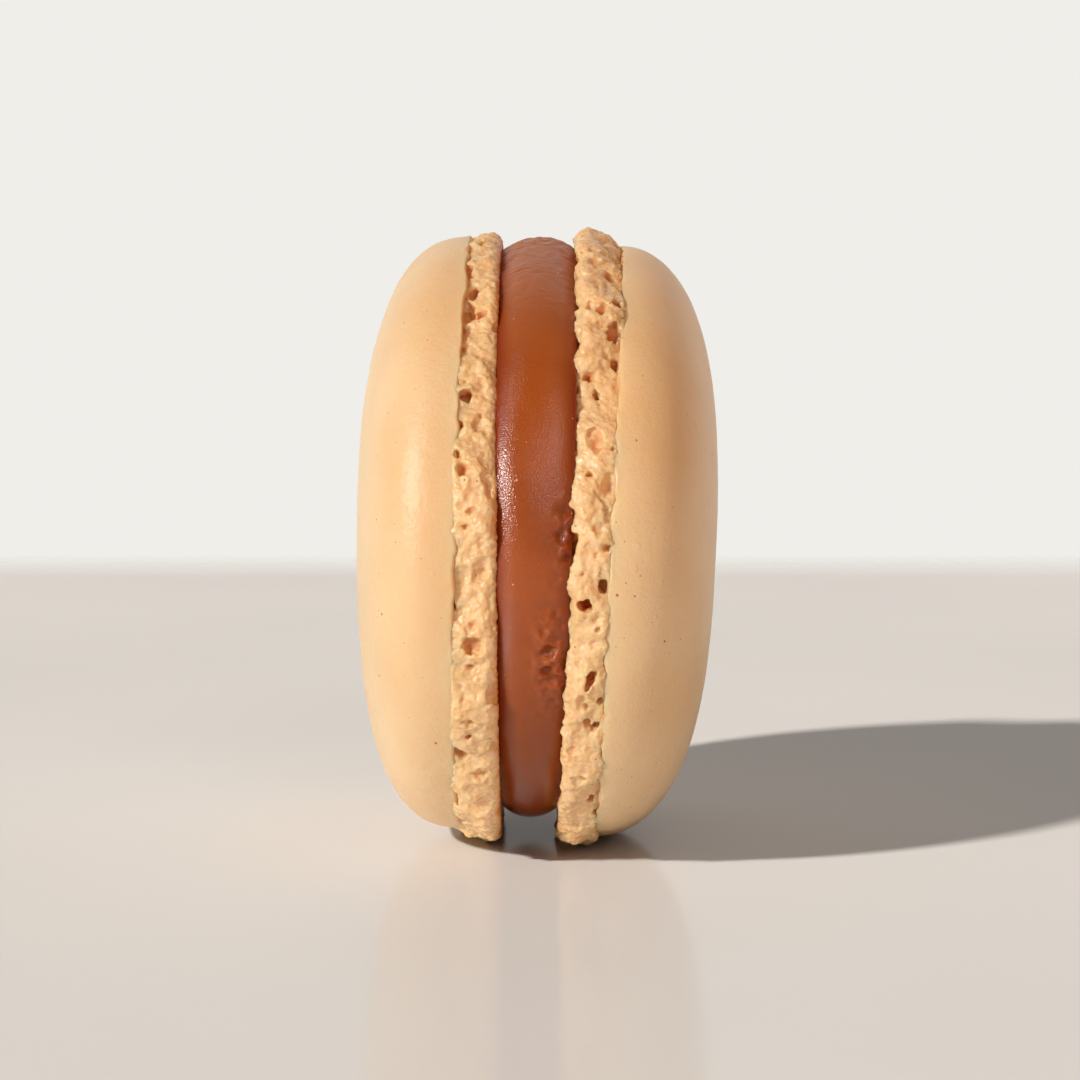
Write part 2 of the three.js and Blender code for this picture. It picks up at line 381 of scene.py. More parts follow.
def dome_profile(shell):
    """From the apex over the dome to its edge, under the lip, and along the core to the inner face."""
    profile = []
    for row in range(DOME_ROWS + 1):
        swing = (1 - (1 - row / DOME_ROWS) ** DOME_CROWDING) * TURN / 4
        radius = shell.dome_radius * math.sin(swing) ** (2 / shell.dome_fullness)
        fall = max(0, math.cos(swing)) ** (2 / shell.dome_sweep)
        profile.append((shell.foot_middle + (shell.apex - shell.foot_middle) * fall, radius))
    for down, inwards in LIP:
        profile.append((shell.foot_middle - down, shell.dome_radius - inwards))
    profile.append((shell.foot_middle - LIP[-1][0], CORE_RADIUS))
    profile.append((0, CORE_RADIUS))
    profile.append((0, 0))
    return profile


def dome_swell(shell, spot, above_edge):
    """How far the crust stands out: slow swells, rolled in along its edge, with a fine grain on the edge."""
    shifted = spot + Vector((shell.seed, 0, 0))
    swell = sum(height * noise.noise(shifted / wave) for wave, height in DOME_SWELLS)
    roll = EDGE_ROLL * math.exp(-max(0, above_edge) / EDGE_ROLL_WIDTH)
    grain = EDGE_GRAIN * math.exp(-((above_edge / EDGE_GRAIN_WIDTH) ** 2))
    return swell - roll + grain * noise.noise(shifted / EDGE_GRAIN_WAVE)


def make_dome(shell):
    mesh = lathe(dome_profile(shell), DOME_CHORDS, DOME_CUTS)
    for vert in mesh.verts:
        radius, angle = polar(vert.co)
        thickness = foot_thickness(shell, angle)
        if vert.co.x > shell.foot_middle:
            share = (vert.co.x - shell.foot_middle) / (shell.apex - shell.foot_middle)
            sweep = between((shell.dome_sweep, shell.front_sweep), math.cos(angle) ** 2)
            out = thickness + (shell.apex - thickness) * share ** (shell.dome_sweep / sweep)
            out += seam(shell, angle) * (1 - share) ** SEAM_FADE
        else:
            out = (thickness + seam(shell, angle)) * vert.co.x / shell.foot_middle
        on_dome = min(1, vert.co.x / shell.foot_middle)
        vert.co = shell_point(shell, out, radius, angle)
        vert.co.x += shell.side * shell.dome_lean * vert.co.z * on_dome
        vert.co.y -= shell.dome_forward * on_dome
        vert.co.z += shell.dome_rise * on_dome
    bmesh.ops.recalc_face_normals(mesh, faces=mesh.faces)
    mesh.normal_update()
    # Marks where the dome runs under its edge, for a painted shade there.
    painted_underside_shade = mesh.verts.layers.float.new("painted_underside_shade")
    for vert in mesh.verts:
        out = abs(vert.co.x)
        above_edge = out - dome_edge(shell, polar(vert.co)[1])
        vert[painted_underside_shade] = min(1, max(0, (PAINTED_UNDERSIDE_SPAN[0] - above_edge) / (PAINTED_UNDERSIDE_SPAN[0] - PAINTED_UNDERSIDE_SPAN[1])))
        if out > shell.foot_middle / 2:
            vert.co += vert.normal * dome_swell(shell, vert.co, above_edge)
    piece = as_object(mesh, shell.name + "_dome")
    to_row_frame(piece, shell_place(shell))
    return piece


# The feet. Each puff, lump and grain is a wave and a height.
FOOT_CHORDS = 110
FOOT_CUTS = 10
FOOT_ROWS = 26
FLANK_ROWS = 12
INNER_ROWS = 6
FOOT_INNER_RADIUS = 20.6
FOOT_VOXEL = 0.1
FOOT_TRIANGLES = 195000
FOOT_SOFTENING = 4
FOOT_PUFFS = ((2.0, 0.4),)
FOOT_LUMPS = ((0.95, 0.22), (0.5, 0.13))
FOOT_GRAIN = ((0.3, 0.085), (0.19, 0.05))
PUFF_MEAN = 0.22
SMOOTH_SHARE = 0.32
SEAM_CALM = 0.5
SEAM_CALM_SHARE = 0.25
TEETH_WAVE = 0.6
TEETH_HEIGHT = 0.2
TEETH_SHARE = 0.25
PORE_ROUGHNESS = 0.55
PORE_KNOBS = 1.3
PORE_SUBDIVISIONS = 3
PORE_SINK = 0.3
PINHOLES = 120
PINHOLE_SIZE = (0.08, 0.2)
PINHOLE_STRETCH = (0.7, 1.7)
PINHOLE_DEPTH = 2
BOWLS = 64
BOWL_SIZE = (0.35, 0.8)
BOWL_STRETCH = (0.8, 1.4)
BOWL_SINK = -0.6
HOLLOW_VOXEL = 0.08
# Painted shade along the foot's smooth edge by the caramel: its strength and its width in millimetres
EDGE_SHADE_DEPTH = 0.8
EDGE_SHADE_WIDTH = 0.5


def foot_profile():
    """A closed ring section of (share, radius) points: outer side, dome flank, inner side, caramel flank."""
    rows = [i / FOOT_ROWS for i in range(FOOT_ROWS + 1)]
    outer = [(share, foot_section(share)) for share in rows]
    flank = [between((outer[-1][1], FOOT_INNER_RADIUS), i / FLANK_ROWS) for i in range(1, FLANK_ROWS + 1)]
    inner = [1 - i / INNER_ROWS for i in range(1, INNER_ROWS + 1)]
    back = [between((FOOT_INNER_RADIUS, outer[0][1]), i / FLANK_ROWS) for i in range(1, FLANK_ROWS)]
    return (
        outer
        + [(1, radius) for radius in flank]
        + [(share, FOOT_INNER_RADIUS) for share in inner]
        + [(0, radius) for radius in back]
    )


def foot_width(shell, angle):
    return dome_edge(shell, angle) + FOOT_LAP


def foot_surface(shell, waves, angle, share):
    radius = foot_section(share) + foot_lift(shell, waves, angle, share)
    return shell_point(shell, share * foot_width(shell, angle), radius, angle)


def puffs(shell, spot, share):
    """Rounded swellings with creases between them and lumps on them, calmer by the dome."""
    shifted = spot + Vector((shell.seed, 0, 0))
    calm = 1 - shell.smooth_edge * max(0, 1 - share / SMOOTH_SHARE)
    calm *= 1 - SEAM_CALM * max(0, 1 - (1 - share) / SEAM_CALM_SHARE)
    swellings = sum(height * (abs(noise.noise(shifted / wave)) - PUFF_MEAN) for wave, height in FOOT_PUFFS)
    lumps = sum(height * noise.noise(shifted / wave) for wave, height in FOOT_LUMPS)
    return calm * (swellings + lumps)


def teeth(shell, spot, share):
    """Small teeth along the edge by the caramel."""
    size = TEETH_HEIGHT * (1 - shell.smooth_edge) * max(0, 1 - share / TEETH_SHARE)
    return size * (noise.noise(spot / TEETH_WAVE) + noise.noise(spot / TEETH_WAVE / 2) / 2)


def pore_ball(balls, shell, waves, size, sink):
    """Adds one uneven hollow to a mesh of hollows, its middle that share of its depth under the surface."""
    angle, share, length, width, depth = size
    across = Vector((1, 0, 0))
    outward = Vector((0, -math.cos(angle), math.sin(angle)))
    along = outward.cross(across)
    spot = foot_surface(shell, waves, angle, share) - outward * depth * sink
    turn = Matrix((across, along, outward)).transposed().to_4x4()
    twist = Matrix.Rotation(PORE_TWIST * noise.noise(spot), 4, "Z")
    place = Matrix.Translation(spot) @ turn @ twist @ Matrix.Diagonal((width, length, depth, 1))
    made = bmesh.ops.create_icosphere(balls, subdivisions=PORE_SUBDIVISIONS, radius=1)
    for vert in made["verts"]:
        vert.co *= 1 + PORE_ROUGHNESS * noise.noise(vert.co * PORE_KNOBS + spot)
    bmesh.ops.transform(balls, matrix=place, verts=made["verts"])


def foot_pores(shell, waves, draw):
    """All hollows of one foot as one mesh: deep pores and pinholes, and shallow bowls all round."""
    sizes = [(angle * DEGREE, *rest) for angle, *rest in shell.front_pores]
    for i in range(PORE_COUNT):
        angle = between((PORES_FROM, PORES_TO), (i + next(draw)) / PORE_COUNT)
        limits = (PORE_SHARE, PORE_LENGTH, PORE_WIDTH, PORE_DEPTH)
        sizes.append((angle, *[between(limit, next(draw)) for limit in limits]))
    for i in range(PINHOLES):
        radius = between(PINHOLE_SIZE, next(draw) ** 2)
        angle = TURN * (i + next(draw)) / PINHOLES
        share = next(draw)
        length = radius * between(PINHOLE_STRETCH, next(draw))
        sizes.append((angle, share, length, radius, radius * PINHOLE_DEPTH))
    balls = bmesh.new()
    for size in sizes:
        pore_ball(balls, shell, waves, size, PORE_SINK)
    for i in range(BOWLS):
        radius = between(BOWL_SIZE, next(draw))
        angle = TURN * (i + next(draw)) / BOWLS
        share = next(draw)
        length = radius * between(BOWL_STRETCH, next(draw))
        pore_ball(balls, shell, waves, (angle, share, length, radius, radius), BOWL_SINK)
    return remesh(as_object(balls, "hollows"), HOLLOW_VOXEL)


def make_foot(shell):
    draw = seeded_draw(shell.seed)
    waves = ruffle_waves(draw)
    ring = lathe(foot_profile(), FOOT_CHORDS, FOOT_CUTS, closed=True)
    shares = {}
    for vert in ring.verts:
        radius, angle = polar(vert.co)
        share = vert.co.x
        depth_in = (radius - FOOT_INNER_RADIUS) / (FOOT_RADIUS - FOOT_INNER_RADIUS)
        raised = radius + foot_lift(shell, waves, angle, share) * depth_in
        vert.co = shell_point(shell, share * foot_width(shell, angle), raised, angle)
        shares[vert] = share, depth_in
    bmesh.ops.recalc_face_normals(ring, faces=ring.faces)
    ring.normal_update()
    for vert, (share, depth_in) in shares.items():
        spot = vert.co.copy()
        vert.co += vert.normal * puffs(shell, spot, share) * min(1, 2 * depth_in)
        vert.co.x += teeth(shell, spot, share) * depth_in
    foot = as_object(ring, shell.name + "_foot")
    carve(foot, foot_pores(shell, waves, draw))
    remesh(foot, FOOT_VOXEL)
    soften(foot, FOOT_SOFTENING)
    roughen(foot, FOOT_GRAIN)
    thin_out(foot, FOOT_TRIANGLES)
    mark_depth(foot, shell, waves)
    to_row_frame(foot, shell_place(shell))
    return foot


def roughen(foot, grain):
    """Moves each vertex of the foot's outer part along its normal by a fine grain."""
    moves = []
    for vert in foot.data.vertices:
        on_outside = polar(vert.co)[0] > FOOT_INNER_RADIUS + FOOT_VOXEL
        heights = (height * noise.noise(vert.co / wave) for wave, height in grain)
        moves.append(vert.normal * sum(heights) * on_outside)
    for vert, move in zip(foot.data.vertices, moves):
        vert.co += move


def mark_depth(foot, shell, waves):
    """Stores how deep under the foot's smooth form each vertex lies, and more along the smooth edge by the
    caramel, as a mask for painted shade.
    """
    depths = foot.data.attributes.new("depth", "FLOAT", "POINT")
    for vert, value in zip(foot.data.vertices, depths.data):
        radius, angle = polar(vert.co)
        share = min(1, max(0, shell.side * vert.co.x / foot_width(shell, angle)))
        # Painted shade along the smooth edge by the caramel
        painted_edge_shade = EDGE_SHADE_DEPTH * shell.smooth_edge * max(0, 1 - abs(vert.co.x) / EDGE_SHADE_WIDTH)
        value.value = max(0, foot_section(share) + foot_lift(shell, waves, angle, share) - radius) + painted_edge_shade


# The caramel. A width is how far a noise runs across the disc, and a layer keeps two noises apart.
CARAMEL_CHORDS = 90
CARAMEL_CUTS = 10
CARAMEL_ROWS = 48
CARAMEL_OVERLAP = 0.05
CARAMEL_SWELLS = ((6, 0.1), (1.6, 0.012))
CARAMEL_CORE = 17
CARAMEL_WIDTH = 5
EDGE_SHARPNESS = 3
WAVER_COUNTS = (3, 7)
WAVER_PHASE = 1
WAVER_SLANT = 4
WARP_WAVE = 1.6
WARP_WIDTH = 3
WRINKLE_HEIGHT = 0.14
WRINKLE_WAVE = 0.32
WRINKLE_WARP = 3
WRINKLE_WIDTH = 7
WRINKLE_LAYER = 3
WRINKLE_ANGLE = 80 * DEGREE
WRINKLE_SPREAD = 24 * DEGREE
DRAG_HEIGHT = 0.03
DRAG_SPACING = 0.42
DRAG_ANGLE = 49.5 * DEGREE
DRAG_SPREAD = 4 * DEGREE
DRAG_SHARE = 0.35
DRAG_SHARE_SPREAD = 0.28
DRAG_SLANT = 6
DRAG_CURVE = 2.6
DRAG_WARP = 2
DENTS = ((0.8, 0.75), (0.4, 0.35))
DENT_LAYER = 9


@dataclass(frozen=True)
class DentedPatch:
    """Where the caramel is dented: the middle and the reach of the patch, round the rim and across."""

    angle: float
    spread: float
    share: float
    share_spread: float


DENTED_PATCHES = (
    DentedPatch(-20 * DEGREE, 9 * DEGREE, 0.76, 0.2),
    DentedPatch(2 * DEGREE, 6 * DEGREE, 0.9, 0.1),
)


def caramel_profile():
    """From the axis on the left over the rim to the axis on the right, as (share, radius) points."""
    rim = [(row / CARAMEL_ROWS, CARAMEL_RADIUS) for row in range(CARAMEL_ROWS + 1)]
    return [(0, 0), (0, CARAMEL_CORE), *rim, (1, CARAMEL_CORE), (1, 0)]


def near(value, middle, spread):
    return math.exp(-(((value - middle) / spread) ** 2))


def caramel_relief(angle, share):
    """Slow wavering, fine wrinkles near the top, drag marks under them, and dented patches in front."""
    along = angle * CARAMEL_RADIUS
    slow, quick = WAVER_COUNTS
    waver = math.sin(slow * angle + WAVER_PHASE) + math.sin(quick * angle + WAVER_SLANT * share)
    waver *= CARAMEL_WAVER
    warp = noise.noise(Vector((along / WARP_WAVE, share * WARP_WIDTH, 0)))
    wrinkled_along = along / WRINKLE_WAVE + WRINKLE_WARP * warp
    wrinkle = noise.noise(Vector((wrinkled_along, share * WRINKLE_WIDTH, WRINKLE_LAYER)))
    wrinkle *= WRINKLE_HEIGHT * near(angle, WRINKLE_ANGLE, WRINKLE_SPREAD)
    line = along - DRAG_SLANT * share + DRAG_CURVE * share**2
    drag = math.sin(TURN * line / DRAG_SPACING + DRAG_WARP * warp)
    drag *= DRAG_HEIGHT * near(share, DRAG_SHARE, DRAG_SHARE_SPREAD) * near(angle, DRAG_ANGLE, DRAG_SPREAD)
    pressed = sum(
        near(angle, patch.angle, patch.spread) * near(share, patch.share, patch.share_spread)
        for patch in DENTED_PATCHES
    )
    spot = Vector((along, share * CARAMEL_WIDTH, DENT_LAYER))
    dents = pressed * sum(depth * noise.noise(spot / wave) for wave, depth in DENTS)
    return waver + wrinkle + drag - dents


def caramel_bulge(angle, share):
    """How far the rim draws in towards its two edges, more at the top and the bottom than in front."""
    upright = math.sin(angle) ** 2
    return between(CARAMEL_BULGE, upright) * abs(2 * share - 1) ** between(CARAMEL_SWELL, upright)


def make_caramel():
    disc = lathe(caramel_profile(), CARAMEL_CHORDS, CARAMEL_CUTS)
    # Marks nearness to the disc's two edges, for a painted shade there.
    edge = disc.verts.layers.float.new("edge")
    for vert in disc.verts:
        radius, angle = polar(vert.co)
        share = vert.co.x
        vert[edge] = abs(2 * share - 1) ** EDGE_SHARPNESS
        if radius > (CARAMEL_RADIUS + CARAMEL_CORE) / 2:
            radius += caramel_relief(angle, share) - caramel_bulge(angle, share)
            spot = Vector((share * CARAMEL_WIDTH, radius * math.cos(angle), radius * math.sin(angle)))
            radius += sum(height * noise.noise(spot / wave) for wave, height in CARAMEL_SWELLS)
        height = radius * math.sin(angle) + CARAMEL_RISE
        left = -LEFT_SHELL.face - CARAMEL_OVERLAP
        right = RIGHT_SHELL.face + CARAMEL_OVERLAP + math.tan(RIGHT_SHELL.lean) * height
        vert.co = Vector((between((left, right), share), -radius * math.cos(angle) - CARAMEL_FORWARD, height))
    piece = as_object(disc, "caramel")
    to_row_frame(piece, Matrix.Translation((0, 0, AXIS_HEIGHT)))
    return piece


# Materials
def add_node(tree, kind, inputs=None, **settings):
    """Adds a shader node; an input is a plain value or another node's output."""
    node = tree.nodes.new(kind)
    for key, value in settings.items():
        setattr(node, key, value)
    for key, value in (inputs or {}).items():
        if isinstance(value, bpy.types.NodeSocket):
            tree.links.new(value, node.inputs[key])
        else:
            node.inputs[key].default_value = value
    return node


def start_material(name):
    material = bpy.data.materials.new(name)
    material.use_nodes = True
    tree = material.node_tree
    shader = tree.nodes["Principled BSDF"]
    place = add_node(tree, "ShaderNodeTexCoord").outputs["Object"]
    return material, tree, shader, place


def grain_texture(tree, place, wave, detail):
    """A noise whose bumps are about wave millimetres apart."""
    inputs = {"Vector": place, "Scale": 1 / (wave * MM), "Detail": detail}
    return add_node(tree, "ShaderNodeTexNoise", inputs).outputs["Fac"]


def ramp(tree, factor, stops):
    node = add_node(tree, "ShaderNodeValToRGB", {"Fac": factor})
    elements = node.color_ramp.elements
    while len(elements) < len(stops):
        elements.new(0.5)
    for element, (position, colour) in zip(elements, stops):
        element.position = position
        element.color = (*colour, 1)
    return node.outputs["Color"]


def blend_colours(tree, factor, first, second):
    node = add_node(tree, "ShaderNodeMix", data_type="RGBA")
    for index, value in ((0, factor), (6, first), (7, second)):
        if isinstance(value, bpy.types.NodeSocket):
            tree.links.new(value, node.inputs[index])
        else:
            node.inputs[index].default_value = value if index == 0 else (*value, 1)
    return node.outputs[2]


def map_range(tree, value, low, high, to_low=0.0, to_high=1.0):
    inputs = {"Value": value, "From Min": low, "From Max": high, "To Min": to_low, "To Max": to_high}
    return add_node(tree, "ShaderNodeMapRange", inputs).outputs["Result"]


def bump(tree, height, distance, normal=None):
    """A bump of that many millimetres, on top of another one."""
    inputs = {"Height": height, "Distance": distance * MM}
    if normal:
        inputs["Normal"] = normal
    return add_node(tree, "ShaderNodeBump", inputs).outputs["Normal"]


@dataclass(frozen=True)
class Grain:
    """A grain in a surface: how far apart its bumps are and how high, in millimetres, and its detail."""

    wave: float
    height: float
    detail: float


def grain_bump(tree, place, grain, normal=None):
    return bump(tree, grain_texture(tree, place, grain.wave, grain.detail), grain.height, normal)


def arithmetic(tree, operation, first, second):
    return add_node(tree, "ShaderNodeMath", {0: first, 1: second}, operation=operation).outputs["Value"]


# The smallest speck's share of the given radius, and the share of a speck that is fully coloured
SPECK_LEAST = 0.1
SPECK_CORE = 0.5


def specks(tree, place, spacing, radius):
    """1 in tiny scattered dots of up to that radius, both in millimetres, and 0 elsewhere."""
    dots = add_node(tree, "ShaderNodeTexVoronoi", {"Vector": place, "Scale": 1 / (spacing * MM)})
    chance = add_node(tree, "ShaderNodeSeparateColor", {"Color": dots.outputs["Color"]}).outputs["Red"]
    size = arithmetic(tree, "ADD", chance, SPECK_LEAST)
    distance = arithmetic(tree, "DIVIDE", dots.outputs["Distance"], size)
    return map_range(tree, distance, radius / spacing, SPECK_CORE * radius / spacing)


CRUST = (0.8, 0.552, 0.302)
CRUST_PALE = (0.83, 0.592, 0.342)
CRUST_DEEP = (0.78, 0.506, 0.258)
SPECK = (0.33, 0.13, 0.045)
CRUMB = (0.81, 0.5, 0.23)
CRUMB_PALE = (0.86, 0.58, 0.312)
# Painted shade in the foot's hollows and along its edge by the caramel
CRUMB_PAINTED_SHADE = (0.72, 0.23, 0.04)
# Painted shade under the dome's edge
CRUST_PAINTED_UNDERSIDE_SHADE = (0.77, 0.42, 0.18)
CARAMEL = (0.345, 0.077, 0.011)
CARAMEL_GLOW = (0.33, 0.068, 0.004)
CARAMEL_DARK = (0.28, 0.06, 0.01)
# Painted shade where the caramel meets the shells
CARAMEL_PAINTED_EDGE_SHADE = (0.22, 0.025, 0.003)
CARAMEL_LOW = (0.22, 0.042, 0.005)
# Painted reflection of the pale wall on the caramel's top
CARAMEL_PAINTED_REFLECTION = (0.345, 0.11, 0.035)


# Specks, crumbs and pimples are how far apart they lie and how large they are at most. Light scattered
# under a surface is its weight, its reach in millimetres and each colour's share of that reach.
TONE_DETAIL = 3
DOME_TONES = ((0.3, CRUST_DEEP), (0.5, CRUST), (0.7, CRUST_PALE))
DOME_TONE_WAVE = 9
DOME_SPECKS = ((0.62, 0.06), (1.7, 0.13))
DOME_ROUGHNESS = 0.42
DOME_SPECULAR = 0.5
DOME_SCATTER = (0.5, 1.8, (1.0, 0.45, 0.2))
DOME_SOFT = Grain(0.7, 0.06, 3)
DOME_PIMPLES = (2.1, 0.3)
PIMPLE_HEIGHT = 0.035
DOME_FINE = Grain(0.2, 0.03, 2)

FOOT_TONES = ((0.35, CRUMB), (0.65, CRUMB_PALE))
FOOT_TONE_WAVE = 0.9
FOOT_TONE_DETAIL = 4
# Depths over which the painted shade in the hollows sets in
HOLLOW_SHADE_DEPTHS = (0.3, 0.95)
FOOT_SPECKS = (0.8, 0.09)
MOIST_WAVE = 1.6
MOIST_DETAIL = 2
MOIST_TURN = (0.4, 0.6)
FOOT_ROUGHNESS = (0.24, 0.5)
FOOT_SPECULAR = 0.6
FOOT_SCATTER = (0.55, 1.3, (1.0, 0.5, 0.22))
FOOT_SOFT = Grain(0.35, 0.04, 2)
FOOT_FINE = Grain(0.14, 0.045, 2)

CARAMEL_TONES = ((0.35, CARAMEL_DARK), (0.6, CARAMEL))
CARAMEL_TONE_WAVE = 6
CARAMEL_TONE_DETAIL = 2
CARAMEL_EDGE_SHADE_TURN = (0.25, 0.9)
CARAMEL_CRUMBS = (1.4, 0.08)
CARAMEL_ROUGHNESS = (0.2, 0.42)
CARAMEL_IOR = 1.48
CARAMEL_SCATTER = (0.6, 2.2, (1.0, 0.3, 0.08))
CARAMEL_SOFT = Grain(0.5, 0.015, 3)
CARAMEL_FINE = Grain(0.11, 0.03, 1)


def set_subsurface(shader, weight, scale, radius):
    shader.inputs["Subsurface Weight"].default_value = weight
    shader.inputs["Subsurface Scale"].default_value = scale * MM
    shader.inputs["Subsurface Radius"].default_value = radius


def dome_material():
    """Smooth satin crust with slow changes of tone, tiny dark almond specks and a painted orange shade under
    its edge.
    """
    material, tree, shader, place = start_material("dome_crust")
    tones = ramp(tree, grain_texture(tree, place, DOME_TONE_WAVE, TONE_DETAIL), DOME_TONES)
    painted_underside_shade = add_node(tree, "ShaderNodeAttribute", attribute_name="painted_underside_shade").outputs["Fac"]
    # Painted shade under the dome's edge, where it tucks over the foot.
    spotted = blend_colours(tree, painted_underside_shade, tones, CRUST_PAINTED_UNDERSIDE_SHADE)
    for spacing, radius in DOME_SPECKS:
        spotted = blend_colours(tree, specks(tree, place, spacing, radius), spotted, SPECK)
    tree.links.new(spotted, shader.inputs["Base Color"])
    shader.inputs["Roughness"].default_value = DOME_ROUGHNESS
    shader.inputs["Specular IOR Level"].default_value = DOME_SPECULAR
    set_subsurface(shader, *DOME_SCATTER)
    soft = grain_bump(tree, place, DOME_SOFT)
    pimples = bump(tree, specks(tree, place, *DOME_PIMPLES), PIMPLE_HEIGHT, soft)
    fine = grain_bump(tree, place, DOME_FINE, pimples)
    tree.links.new(fine, shader.inputs["Normal"])
    return material


def foot_material():
    """Porous crumb of varying tone, with a painted orange-brown shade in its hollows and along its edge by
    the caramel, and a sugary grain.
    """
    material, tree, shader, place = start_material("foot_crumb")
    depth = add_node(tree, "ShaderNodeAttribute", attribute_name="depth").outputs["Fac"]
    tones = ramp(tree, grain_texture(tree, place, FOOT_TONE_WAVE, FOOT_TONE_DETAIL), FOOT_TONES)
    # Painted shade: the crumb turns orange-brown with depth in its hollows and along its edge by the caramel.
    hollow = map_range(tree, depth, *HOLLOW_SHADE_DEPTHS)
    deep = blend_colours(tree, hollow, tones, CRUMB_PAINTED_SHADE)
    spotted = blend_colours(tree, specks(tree, place, *FOOT_SPECKS), deep, SPECK)
    tree.links.new(spotted, shader.inputs["Base Color"])
    moist = grain_texture(tree, place, MOIST_WAVE, MOIST_DETAIL)
    tree.links.new(map_range(tree, moist, *MOIST_TURN, *FOOT_ROUGHNESS), shader.inputs["Roughness"])
    shader.inputs["Specular IOR Level"].default_value = FOOT_SPECULAR
    set_subsurface(shader, *FOOT_SCATTER)
    fine = grain_bump(tree, place, FOOT_FINE, grain_bump(tree, place, FOOT_SOFT))
    tree.links.new(fine, shader.inputs["Normal"])
    return material


@dataclass(frozen=True)
class Glow:
    """A clearer part of the caramel: its middle along X and Z and how far it reaches, in millimetres."""

    middle: tuple
    reach: tuple


CARAMEL_GLOWS = (Glow((0.6, 37.6), (0.9, 2)), Glow((-0.4, 32), (1.6, 5.5)))

# Heights above the table between which the caramel's roughness changes, its colour darkens towards the bottom
# and a painted reflection greys its top
WRINKLED_FROM = 38
WRINKLED_ABOVE = 40.5
LOW_FROM = 17
LOW_BELOW = 5
PAINTED_REFLECTION_FROM = 35
PAINTED_REFLECTION_ABOVE = 41


def glow_share(tree, place, glow):
    """1 in the middle of a glow and 0 outside its reach."""
    x, z = glow.middle
    wide, high = glow.reach
    scale = (1 / (wide * MM), 0, 1 / (high * MM))
    shifted = add_node(tree, "ShaderNodeVectorMath", {0: place, 1: (x * MM, 0, z * MM)}, operation="SUBTRACT")
    inputs = {0: shifted.outputs["Vector"], 1: scale}
    scaled = add_node(tree, "ShaderNodeVectorMath", inputs, operation="MULTIPLY").outputs["Vector"]
    away = add_node(tree, "ShaderNodeVectorMath", {0: scaled}, operation="LENGTH").outputs["Value"]
    return map_range(tree, away, 1, 0)


def caramel_material():
    """Soft glossy caramel, clearer in places, with a painted shade towards its edges, a painted reflection on
    its top and an orange-peel surface.
    """
    material, tree, shader, place = start_material("caramel")
    height = add_node(tree, "ShaderNodeSeparateXYZ", {"Vector": place}).outputs["Z"]
    edge = add_node(tree, "ShaderNodeAttribute", attribute_name="edge").outputs["Fac"]
    slow = grain_texture(tree, place, CARAMEL_TONE_WAVE, CARAMEL_TONE_DETAIL)
    tones = ramp(tree, slow, CARAMEL_TONES)
    for glow in CARAMEL_GLOWS:
        tones = blend_colours(tree, glow_share(tree, place, glow), tones, CARAMEL_GLOW)
    tones = blend_colours(tree, map_range(tree, height, LOW_FROM * MM, LOW_BELOW * MM), tones, CARAMEL_LOW)
    # Painted reflection: the caramel's top greys towards the pale wall's colour.
    tones = blend_colours(tree, map_range(tree, height, PAINTED_REFLECTION_FROM * MM, PAINTED_REFLECTION_ABOVE * MM), tones, CARAMEL_PAINTED_REFLECTION)
    # Painted shade: the caramel darkens towards its edges, where it meets the shells.
    tones = blend_colours(tree, map_range(tree, edge, *CARAMEL_EDGE_SHADE_TURN), tones, CARAMEL_PAINTED_EDGE_SHADE)
    crumbs = blend_colours(tree, specks(tree, place, *CARAMEL_CRUMBS), tones, CRUMB)
    tree.links.new(crumbs, shader.inputs["Base Color"])
    wrinkled = map_range(tree, height, WRINKLED_FROM * MM, WRINKLED_ABOVE * MM, *CARAMEL_ROUGHNESS)
    tree.links.new(wrinkled, shader.inputs["Roughness"])
    shader.inputs["IOR"].default_value = CARAMEL_IOR
    set_subsurface(shader, *CARAMEL_SCATTER)
    fine = grain_bump(tree, place, CARAMEL_FINE, grain_bump(tree, place, CARAMEL_SOFT))
    tree.links.new(fine, shader.inputs["Normal"])
    return material


# The table, the room and the light
TABLE_COLOUR = (0.54, 0.5, 0.47)
TABLE_SHADES = ((0.3, 0.97), (0.7, 1.02))
TABLE_TONE_WAVE = 60
TABLE_WIDTH = 3.0
TABLE_NEAR = -1.0
TABLE_FAR = 0.235
TABLE_FADE = 0.195
TABLE_GLOSS = 0.15
TABLE_GLOSS_BLUR = 0.14
ROOM_COLOUR = (1.0, 0.8, 0.6)
ROOM_STRENGTH = 0.09
WALL_COLOUR = (0.87, 0.855, 0.82)
WALL_TURN = (0.36, 0.5)
TOWARDS_WINDOW = (0.315, -0.804, 0.505)
WINDOW_COLOUR = (2.6, 2.4, 2.6)
WINDOW_TURN = (0.975, 0.99)


